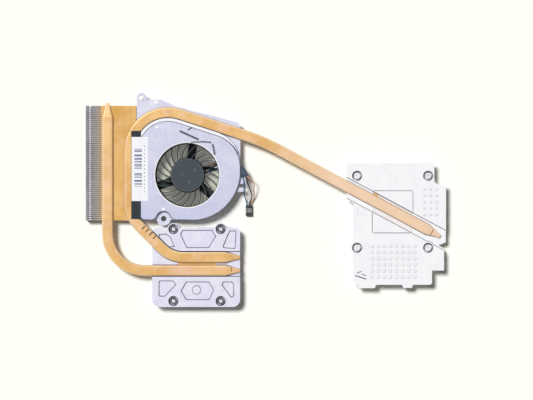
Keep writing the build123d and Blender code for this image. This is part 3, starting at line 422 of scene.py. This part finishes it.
def cast_gpu():
    """The graphics plate's casting: two grids of dimples, ejector rings, pen strokes, and painted shade on
    its upright faces and in its corners.
    """
    shade = metal("cast_gpu", rgb(255, 255, 255), rgb(250, 250, 255), 0.9 * MM, 0.20, 0.42, speck=0.10)
    tone, first_dots = dot_grid(
        shade, shade.tone, (81.8 * MM, -35.5 * MM), (4.7 * MM, -4.77 * MM), (8, 6), 1.25 * MM)
    tone, second_dots = dot_grid(
        shade, tone, (122.2 * MM, 8.3 * MM), (4.62 * MM, -4.9 * MM), (3, 5), 1.0 * MM)
    for ring_x, ring_y, radius in ((98.0, 18.4, 2.6), (73.3, -8.6, 2.7), (77.2, -35.5, 2.4)):
        x, y = shade.centred((ring_x * MM, ring_y * MM))
        ring = shade.disc(x, y, radius * MM, soft=0.15 * MM, thin=0.2 * MM)
        ring = shade.times(ring, shade.over(shade.height(), PLATE_FACE), 0.35)
        tone = shade.mix(ring, tone, rgb(180, 180, 200))
    tone = shade.strokes(tone, INK, [
        ((69.2, -58.4), (77.0, -60.9), 0.45),
        ((70.4, -56.3), (73.6, -55.2), 0.35),
        ((73.9, -57.2), (77.2, -58.6), 0.32),
    ], PLATE_FACE)
    tone = shade.sides(tone, rgb(150, 150, 168), 0.5, 0.2, 0.6)
    dimples = shade.maths("MAXIMUM", first_dots, second_dots)
    grain = shade.surface.inputs["Normal"].links[0].from_socket
    shade.set("Normal", shade.bump(shade.minus(1.0, dimples), 0.6, 0.15 * MM, grain))
    return shade.paint(shade.painted_corner_shade(tone, rgb(44, 44, 62), 1.0 * MM, 0.95, 0.6, 0.95))


def copper_pipe():
    """The heat pipes: paler towards the right, flushed on the lower run, with crimps and ink ticks."""
    shade = copper("copper_pipe", rgb(244, 198, 130), rgb(230, 178, 106), rgb(246, 200, 166), (0.6, 0.6, 1.0))
    x, y, _ = shade.axes()
    right = shade.span(x, 0.0, 50 * MM, 0.0, 0.75)
    left = shade.span(x, -121 * MM, -117 * MM, 0.15, 0.0)
    tone = shade.mix(shade.maths("MAXIMUM", right, left), shade.tone, rgb(252, 222, 194))
    # Painted shade on the pipes' upright and rounded faces.
    tone = shade.sides(tone, rgb(132, 86, 42), 0.75)
    tone = shade.strokes(tone, rgb(120, 74, 38), [((129.0, -22.6), (127.0, -27.2), 0.28)], PIPE_FACE)
    tone = shade.strokes(tone, rgb(134, 86, 44), [((-26.4, -52.3), (-26.5, -54.9), 0.30)], PIPE_FACE)
    flush = shade.times(
        shade.span(x, -80 * MM, -70 * MM),
        shade.span(x, -58 * MM, -44 * MM, 0.6, 0.0),
        shade.maths("LESS_THAN", y, -49 * MM),
    )
    tone = shade.mix(flush, tone, rgb(246, 202, 172))
    tone = shade.strokes(tone, INK, [
        ((-95.0, -22.4), (-93.0, -20.4), 0.50),
        ((-92.2, -24.6), (-90.0, -22.6), 0.45),
        ((-89.4, -27.2), (-87.4, -25.0), 0.50),
        ((-86.6, -29.8), (-84.6, -27.8), 0.45),
    ], PIPE_FACE)
    # Painted shade where the pipes meet other parts.
    return shade.paint(shade.painted_corner_shade(tone, rgb(96, 60, 30), 0.8 * MM, 0.7))


fin_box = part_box("fin_stack")
fin_pitch = (fin_box[1][1] - fin_box[0][1] + FLANGE_GAP) / FIN_COUNT


def fin_sheet():
    """The fins: one dark seam a fin, greyer towards the free end and warmer beside the copper plate."""
    shade = metal("fin_sheet", rgb(176, 174, 178), rgb(150, 148, 153), 0.5 * MM, 0.45, 0.36)
    x, y, _ = shade.axes()
    left, front = fin_box[0][0], fin_box[0][1]
    tone = shade.mix(shade.span(x, left + 5.5 * MM, left + 10.5 * MM), shade.tone, rgb(190, 176, 152))
    tone = shade.mix(shade.span(x, left + 9.8 * MM, left + 11.6 * MM), tone, rgb(196, 168, 144))
    step = shade.maths("FRACT", shade.maths("DIVIDE", shade.minus(y, front), fin_pitch))
    fold = shade.span(shade.maths("ABSOLUTE", shade.minus(step, 0.42)), 0.16, 0.40, 0.0, 0.75)
    return shade.paint(shade.mix(fold, tone, rgb(84, 82, 84)))


def black_plastic():
    """The impeller: darker blades, and a greyer hub with a worn edge and three gate marks."""
    shade = plastic("black_plastic", rgb(62, 71, 78), rgb(72, 82, 88), 0.46)
    x, y = shade.centred(FAN)
    top = shade.span(shade.height(), 9.9 * MM, 9.98 * MM)
    tone = shade.mix(top, rgb(38, 42, 40), rgb(52, 61, 68))
    tone = shade.mix(0.35, tone, shade.tone)
    for gate_x, gate_y in ((-3.9, 0.4), (1.6, -5.4), (5.9, 3.9)):
        gate = shade.disc(shade.minus(x, gate_x * MM), shade.minus(y, gate_y * MM), 1.1 * MM, soft=0.5 * MM)
        tone = shade.mix(shade.times(gate, top, 0.4), tone, rgb(104, 114, 120))
    edge = shade.disc(x, y, HUB_EDGE_R, thin=0.22 * MM)
    return shade.paint(shade.mix(shade.times(edge, top, 0.45), tone, rgb(116, 124, 128)))


# The label's bars, from the top down: the place of the top edge and the height, in millimetres
BARS = [
    (39.2, 0.6), (38.0, 1.3), (34.9, 1.6), (32.1, 1.3), (29.7, 0.9), (27.7, 0.8), (26.4, 0.7), (25.2, 0.4),
    (24.2, 0.4), (20.4, 1.2), (18.6, 0.5), (17.4, 0.5), (15.3, 1.5), (12.5, 0.9), (10.4, 0.3),
]
LABEL_BOTTOM, LABEL_TOP = -1.0, 49.0


def paper():
    """The label, with plain bars and a column of short dashes."""
    shade = plastic("paper", rgb(249, 249, 253), rgb(240, 241, 248), 0.5)
    x, y, _ = shade.axes()
    ramp = shade.node("ShaderNodeValToRGB")
    ramp.color_ramp.interpolation = "CONSTANT"
    ramp.color_ramp.elements.remove(ramp.color_ramp.elements[1])
    ramp.color_ramp.elements[0].color = (0, 0, 0, 1)
    for top, height in reversed(BARS):
        for place, ink in ((top - height, 1), (top, 0)):
            stop = ramp.color_ramp.elements.new((place - LABEL_BOTTOM) / (LABEL_TOP - LABEL_BOTTOM))
            stop.color = (ink, ink, ink, 1)
    shade.feed(ramp.inputs[0], shade.span(y, LABEL_BOTTOM * MM, LABEL_TOP * MM))
    bars = shade.inside(x, y, -101.05 * MM, -95.3 * MM, 9 * MM, 40 * MM)
    tone = shade.mix(shade.times(bars, ramp.outputs[0], 0.9), shade.tone, rgb(92, 100, 140))
    beat = shade.maths("FRACT", shade.maths("DIVIDE", y, 2.9 * MM))
    column = shade.inside(x, y, -93.7 * MM, -92.9 * MM, 5 * MM, 42 * MM)
    dashes = shade.times(shade.maths("LESS_THAN", beat, 0.38), column, 0.75)
    return shade.paint(shade.mix(dashes, tone, rgb(110, 112, 136)))


def screw_steel(plate, middle, screw_x, light, shade_ring_tone, depth):
    """Plated screws: a bright middle inside a ring of painted shade where the head steps down, drawn about
    each of a plate's four screws.
    """
    shade = metal(f"{plate}_screw_steel", light, rgb(232, 232, 238), 0.4 * MM, 0.3, 0.3, speck=0.1)
    x, y = shade.centred(middle)
    u = shade.minus(shade.maths("ABSOLUTE", x), screw_x)
    v = shade.minus(shade.maths("ABSOLUTE", y), SCREW_Y)
    ring = shade.disc(u, v, 1.9 * MM, thin=0.55 * MM)
    return shade.paint(shade.mix(shade.times(ring, depth), shade.tone, shade_ring_tone))


def tinned_copper():
    """The graphics plate's copper block, tinned beside the pipe, with scrape marks and a bare corner."""
    shade = metal("tinned_copper", rgb(253, 249, 250), rgb(246, 240, 242), 0.8 * MM, 0.25, 0.42, speck=0.1)
    x, y, z = shade.axes()
    from_pipe = shade.maths("ADD", shade.minus(y, 13.2 * MM), shade.times(shade.minus(x, 57.2 * MM), 0.542))
    above_pipe = shade.over(from_pipe, 0.0)
    across = shade.maths("ADD", shade.times(x, 0.94), shade.times(y, -0.34))
    scrape = shade.maths("FRACT", shade.maths("DIVIDE", across, 1.7 * MM))
    scrape = shade.times(
        shade.maths("LESS_THAN", scrape, 0.24),
        shade.span(shade.noise(3 * MM), 0.4, 0.5, 0.2, 0.8),
        shade.span(above_pipe, 0.0, 1.0, 0.3, 1.0),
    )
    tone = shade.mix(scrape, shade.tone, rgb(232, 186, 136))
    corner = shade.span(x, 86.6 * MM, 87.2 * MM, 1.0, 0.0)
    bare = shade.times(corner, above_pipe, shade.over(z, BLOCK_FACE))
    return shade.paint(shade.mix(bare, tone, rgb(232, 184, 116)))


def make_looks():
    """Every material slot's look, by name."""
    made = [
        cast_frame(),
        cover_sheet(),
        cast_cpu(),
        cast_gpu(),
        copper_pipe(),
        fin_sheet(),
        black_plastic(),
        paper(),
        copper("copper_plate", rgb(234, 188, 114), rgb(220, 168, 88), rgb(234, 190, 130), (1.0, 0.12, 1.0)),
        copper("copper_wick", rgb(190, 120, 70), rgb(150, 88, 50), rgb(180, 110, 80), (1, 1, 1), 0.6),
        copper("winding", rgb(190, 100, 50), rgb(150, 70, 30), rgb(200, 110, 70), (1.0, 1.0, 0.1), 0.3),
        metal("steel", rgb(236, 236, 242), rgb(190, 190, 198), 0.4 * MM, 0.8, 0.28),
        metal("magnet", rgb(70, 70, 76), rgb(50, 50, 54), 0.4 * MM, 0.5, 0.55),
        metal("bearing", rgb(206, 176, 110), rgb(170, 140, 84), 0.4 * MM, 0.8, 0.35),
        metal("contact", rgb(240, 240, 236), rgb(210, 208, 196), 0.3 * MM, 0.9, 0.25),
        plastic("bottom_sheet", rgb(50, 58, 60), rgb(66, 74, 76), 0.6),
        plastic("board", rgb(34, 76, 48), rgb(44, 90, 58), 0.35),
        plastic("foam", rgb(48, 56, 60), rgb(64, 73, 78), 0.85, 0.3 * MM),
        plastic("sleeve", rgb(52, 66, 80), rgb(92, 112, 128), 0.25),
        plastic("wire_blue", rgb(44, 92, 140), rgb(74, 130, 160), 0.3),
        plastic("wire_white", rgb(236, 238, 240), rgb(210, 216, 222), 0.3),
        plastic("wire_black", rgb(26, 34, 42), rgb(46, 58, 66), 0.3),
        plastic("wire_red", rgb(216, 160, 124), rgb(238, 200, 172), 0.3),
    ]
    return {shade.name: shade.material for shade in made}


def dress(node, material):
    """Gives a carried-over solid its one material."""
    node.data.materials.clear()
    node.data.materials.append(material)


looks = make_looks()
for row in frame["record"]["subparts"]:
    dress(nodes[row["node"]], looks[row["material_slot"]])
# The ring of painted shade is dark on the processor plate's screws and faint on the graphics plate's.
for plate_screws in (
    ("cpu", CPU, CPU_SCREW_X, rgb(244, 244, 250), rgb(52, 52, 60), 0.92),
    ("gpu", GPU, GPU_SCREW_X, rgb(255, 255, 255), rgb(244, 244, 250), 0.4),
):
    plated = screw_steel(*plate_screws)
    for number in range(1, 5):
        dress(nodes[f"{plate_screws[0]}_screw_{number}"], plated.material)
dress(nodes["gpu_contact_block"], tinned_copper().material)


# Softened edges on the carried-over solids, by their width in millimetres

SOFT_EDGES = {
    "fan_frame": 0.25, "fan_cover": 0.45, "fan_bottom_plate": 0.12, "cpu_plate": 0.3, "gpu_plate": 0.3,
    "duct_plate": 0.12, "lead_connector": 0.15, "impeller": 0.1, "cpu_contact_block": 0.15,
    "gpu_contact_block": 0.15, "lead_contacts": 0.05,
}
for name, width in SOFT_EDGES.items():
    node = nodes[name]
    weld = node.modifiers.new("weld", "WELD")
    weld.merge_threshold = 0.002 * MM
    bevel = node.modifiers.new("bevel", "BEVEL")
    bevel.width = width * MM
    bevel.segments = 2
    bevel.limit_method = "ANGLE"
    bevel.angle_limit = math.radians(40)
    bevel.harden_normals = True


def place_in_scene(name, data):
    """A new object in the scene."""
    made = bpy.data.objects.new(name, data)
    bpy.context.scene.collection.objects.link(made)
    return made


# Stage, light and camera


def pale_floor():
    """A pale floor that keeps the shadow, with a disc of painted shade under the fan, lifted by its own glow,
    that is seen between the fan's blades.
    """
    mesh = bpy.data.meshes.new("floor")
    reach = 4.0
    corners = [(-reach, -reach, 0), (reach, -reach, 0), (reach, reach, 0), (-reach, reach, 0)]
    mesh.from_pydata(corners, [], [(0, 1, 2, 3)])
    floor = place_in_scene("floor", mesh)
    floor.location.z = -0.02 * MM

    shade = Shade("floor_paper", rough=0.9)
    x, y = shade.centred(FAN)
    # Painted shade and painted light under the fan: a darker floor colour and an extra glow, which make the
    # floor seen between the blades an even mid tone.
    shade_and_glow_disc = shade.disc(x, y, UNDER_FAN_R, soft=1.0 * MM)
    shade.paint(shade.mix(shade_and_glow_disc, rgb(254, 254, 246), rgb(176, 178, 160)))
    shade.set("Specular IOR Level", 0.0)
    rays = shade.node("ShaderNodeLightPath")
    seen = shade.maths("MAXIMUM", rays.outputs["Is Camera Ray"], rays.outputs["Is Glossy Ray"])
    seen = shade.maths("MAXIMUM", seen, rays.outputs["Is Transmission Ray"])
    level = shade.maths("ADD", shade.times(shade_and_glow_disc, UNDER_FAN_GLOW), FLOOR_GLOW)
    glow = shade.node("ShaderNodeEmission")
    glow.inputs["Color"].default_value = rgb(255, 255, 246)
    shade.feed(glow.inputs["Strength"], shade.times(seen, level))
    both = shade.node("ShaderNodeAddShader")
    shade.feed(both.inputs[0], shade.surface.outputs[0])
    shade.feed(both.inputs[1], glow.outputs[0])
    shade.feed(shade.out.inputs[0], both.outputs[0])
    floor.data.materials.append(shade.material)


def room():
    """A dim sky for the light, a brighter one in reflections and a white one where it is seen itself."""
    world = bpy.data.worlds.new("room")
    bpy.context.scene.world = world
    world.use_nodes = True
    tree = world.node_tree
    sky = tree.nodes["Background"]
    bright = tree.nodes.new("ShaderNodeBackground")
    shiny = tree.nodes.new("ShaderNodeBackground")
    for ground, colour, strength in (
        (sky, (1.0, 1.0, 1.0, 1), SKY),
        (bright, (1.0, 1.0, 0.985, 1), 1.0),
        (shiny, (1.0, 1.0, 1.0, 1), REFLECTED),
    ):
        ground.inputs["Color"].default_value = colour
        ground.inputs["Strength"].default_value = strength
    rays = tree.nodes.new("ShaderNodeLightPath")
    through = tree.nodes.new("ShaderNodeMath")
    through.operation = "MAXIMUM"
    tree.links.new(rays.outputs["Is Camera Ray"], through.inputs[0])
    tree.links.new(rays.outputs["Is Transmission Ray"], through.inputs[1])
    layer = sky.outputs[0]
    for share, ground in ((rays.outputs["Is Glossy Ray"], shiny), (through.outputs[0], bright)):
        choice = tree.nodes.new("ShaderNodeMixShader")
        tree.links.new(share, choice.inputs[0])
        tree.links.new(layer, choice.inputs[1])
        tree.links.new(ground.outputs[0], choice.inputs[2])
        layer = choice.outputs[0]
    tree.links.new(layer, tree.nodes["World Output"].inputs[0])


def lamps():
    """Soft light from the upper left: one lamp gives the light and the shadow, a weaker one the shine."""
    for name, energy, shine in (("window", SUN, False), ("glint", SHINE, True)):
        lamp = bpy.data.lights.new(name, "SUN")
        lamp.energy = energy
        lamp.angle = WINDOW_WIDTH
        window = place_in_scene(name, lamp)
        window.location = WINDOW
        window.rotation_euler = (-Vector(WINDOW)).to_track_quat("-Z", "Y").to_euler()
        window.visible_glossy = shine


def camera():
    """A camera that looks straight down, as the photograph does."""
    eye = bpy.data.cameras.new("eye")
    eye.sensor_width = 36.0
    eye.lens = eye.sensor_width * VIEW_DISTANCE / (PHOTO_PIXELS * PIXEL)
    eye.clip_end = 20
    viewer = place_in_scene("eye", eye)
    viewer.location = (*VIEW_MIDDLE, VIEW_DISTANCE + VIEW_LEVEL)
    bpy.context.scene.camera = viewer
    bpy.context.scene.view_settings.view_transform = "Standard"


pale_floor()
room()
lamps()
camera()


# The fan's lead, in millimetres: four thin wires from the motor board, through the sleeve to the connector

WIRE_D = 0.9
WIRE_PITCH = 1.12
LEAD_START = (-49.976, 22.287, 1.28)
LEAD_ROUTE = [
    (-44.7, 23.9, 1.28), (-38.9, 25.8, 1.28), (-33.2, 27.3, 1.28), (-29.0, 28.8, 2.0), (-26.6, 29.3, 4.6),
    (-25.0, 28.8, 7.6), (-23.4, 27.4, 9.7), (-21.2, 25.3, 10.1), (-17.5, 22.0, 10.1), (-15.2, 16.4, 10.1),
]
WIRES = {
    "blue": [
        (-16.4, 12.6, 10.0), (-16.3, 8.2, 8.9), (-16.6, 4.2, 6.2), (-15.6, 0.6, 3.2), (-14.8, -1.9, 1.8),
    ],
    "white": [
        (-15.7, 13.2, 10.0), (-14.3, 9.4, 8.2), (-13.2, 5.4, 5.6), (-12.7, 1.6, 3.2), (-13.4, -1.7, 1.8),
    ],
    "black": [
        (-14.0, 13.4, 9.8), (-12.6, 9.6, 8.6), (-11.3, 5.8, 6.0), (-10.4, 1.8, 3.4), (-11.9, -1.5, 1.8),
    ],
    "red": [
        (-10.8, 15.6, 10.3), (-8.6, 12.6, 9.6), (-9.4, 8.0, 7.4), (-8.6, 3.8, 4.2), (-10.0, -0.4, 2.0),
    ],
}
PLUG_X, PLUG_END_Y, PLUG_Z = -13.0, -3.9, 1.5


def side_by_side(route, shift):
    """The same route moved to its left, in the plan, by shift."""
    moved = []
    for i, corner in enumerate(route):
        before = route[max(i - 1, 0)]
        after = route[min(i + 1, len(route) - 1)]
        turn = math.atan2(after[1] - before[1], after[0] - before[0])
        moved.append((corner[0] - shift * math.sin(turn), corner[1] + shift * math.cos(turn), corner[2]))
    return moved


def lead_wire(colour, shift):
    """One wire: side by side with the others as far as the sleeve, then loose to its pin."""
    route = side_by_side([LEAD_START] + LEAD_ROUTE, shift) + WIRES[colour]
    route = route + [(PLUG_X + shift, PLUG_END_Y, PLUG_Z)]
    route = [tuple(value * MM for value in point) for point in route]
    line = bpy.data.curves.new(f"wire_{colour}", "CURVE")
    line.dimensions = "3D"
    line.bevel_depth = WIRE_D / 2 * MM
    line.bevel_resolution = 3
    line.resolution_u = 8
    line.use_fill_caps = True
    spline = line.splines.new("NURBS")
    spline.points.add(len(route) - 1)
    for point, place in zip(spline.points, route):
        point.co = (*place, 1)
    spline.order_u = 3
    spline.use_endpoint_u = True
    line.materials.append(looks[f"wire_{colour}"])
    wire = place_in_scene(f"wire_{colour}", line)
    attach(wire, "assembly")
    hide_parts(f"lead_wire_{colour}")


for number, colour in enumerate(WIRES):
    lead_wire(colour, (number - 1.5) * WIRE_PITCH)


# Lock tabs of the fins: a crowned tongue on each fin, in the slot of the folded flanges

TAB_FROM_LEFT = 2.78 * MM
TAB_BACK = 0.02 * MM
TAB_DEPTH = 0.2 * MM
TAB_WIDTH = 1.24 * MM
TAB_LENGTH = 1.15 * MM
TAB_RISE = 0.16 * MM
TAB_THICK = 0.04 * MM
TAB_CORNER = 0.12 * MM
TAB_STEPS = (4, 5)


def tab_sheet(made, start, level):
    """One side of a tab as a grid of points, narrowed at its corners and raised in its middle."""
    across, along = TAB_STEPS
    left = fin_box[0][0] + TAB_FROM_LEFT
    base = fin_box[1][2] - TAB_DEPTH + level
    grid = []
    for a in range(across + 1):
        u = a / across
        corner = TAB_CORNER * (abs(u - 0.5) * 2) ** 3
        column = []
        for b in range(along + 1):
            v = b / along
            crown = math.sin(math.pi * v) ** 0.6 * (1 - 0.5 * (2 * u - 1) ** 2)
            y = start + corner + v * (TAB_LENGTH - 2 * corner)
            column.append(made.verts.new((left + u * TAB_WIDTH, y, base + crown * (TAB_RISE - TAB_THICK))))
        grid.append(column)
    return grid


def lock_tabs():
    """All the tabs in one mesh."""
    across, along = TAB_STEPS
    made = bmesh.new()
    for i in range(FIN_COUNT):
        start = fin_box[0][1] + i * fin_pitch - TAB_BACK
        top = tab_sheet(made, start, TAB_THICK)
        bottom = tab_sheet(made, start, 0.0)
        for a in range(across):
            for b in range(along):
                made.faces.new((top[a][b], top[a + 1][b], top[a + 1][b + 1], top[a][b + 1]))
                made.faces.new((bottom[a][b + 1], bottom[a + 1][b + 1], bottom[a + 1][b], bottom[a][b]))
        for a in range(across):
            made.faces.new((top[a][0], bottom[a][0], bottom[a + 1][0], top[a + 1][0]))
            made.faces.new((top[a + 1][along], bottom[a + 1][along], bottom[a][along], top[a][along]))
        for b in range(along):
            made.faces.new((top[0][b + 1], bottom[0][b + 1], bottom[0][b], top[0][b]))
            made.faces.new((top[across][b], bottom[across][b], bottom[across][b + 1], top[across][b + 1]))
    for face in made.faces:
        face.smooth = True
    made.normal_update()
    mesh = bpy.data.meshes.new("fin_lock_tabs")
    made.to_mesh(mesh)
    made.free()
    bright = metal("bright_fin", rgb(255, 255, 255), rgb(244, 243, 250), 0.4 * MM, 0.15, 0.34, speck=0.05)
    mesh.materials.append(bright.material)
    tabs = place_in_scene("fin_lock_tabs", mesh)
    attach(tabs, "assembly")


lock_tabs()


# The screws' coil springs, round in the wire and built at their resting length: in millimetres

SPRING_WIRE = 0.4
SPRING_TURNS = 3.0
COIL_STEPS = 72
WIRE_SIDES = 10


def coil_spring(plate, number):
    """One spring, in the place and at the height of the CAD's own."""
    low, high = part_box(f"{plate}_spring_{number}")
    middle = [(low[0] + high[0]) / 2, (low[1] + high[1]) / 2]
    wire_r = SPRING_WIRE / 2 * MM
    coil_r = (high[0] - low[0]) / 2 - wire_r
    rise = high[2] - low[2] - 2 * wire_r
    made = bmesh.new()
    rings = []
    for i in range(COIL_STEPS + 1):
        turn = 2 * math.pi * SPRING_TURNS * i / COIL_STEPS
        base = low[2] + wire_r + rise * i / COIL_STEPS
        ring = []
        for j in range(WIRE_SIDES):
            roll = 2 * math.pi * j / WIRE_SIDES
            reach = coil_r + wire_r * math.cos(roll)
            x = middle[0] + reach * math.cos(turn)
            y = middle[1] + reach * math.sin(turn)
            ring.append(made.verts.new((x, y, base + wire_r * math.sin(roll))))
        rings.append(ring)
    for first, second in zip(rings, rings[1:]):
        for j in range(WIRE_SIDES):
            k = (j + 1) % WIRE_SIDES
            made.faces.new((first[j], second[j], second[k], first[k])).smooth = True
    made.faces.new(rings[0])
    made.faces.new(reversed(rings[-1]))
    bmesh.ops.recalc_face_normals(made, faces=made.faces)
    mesh = bpy.data.meshes.new(f"{plate}_coil_{number}")
    made.to_mesh(mesh)
    made.free()
    mesh.materials.append(looks["steel"])
    coil = place_in_scene(f"{plate}_coil_{number}", mesh)
    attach(coil, "assembly")
    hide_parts(f"{plate}_spring_{number}")
    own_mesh(coil)


for plate in ("cpu", "gpu"):
    for number in range(1, 5):
        coil_spring(plate, number)
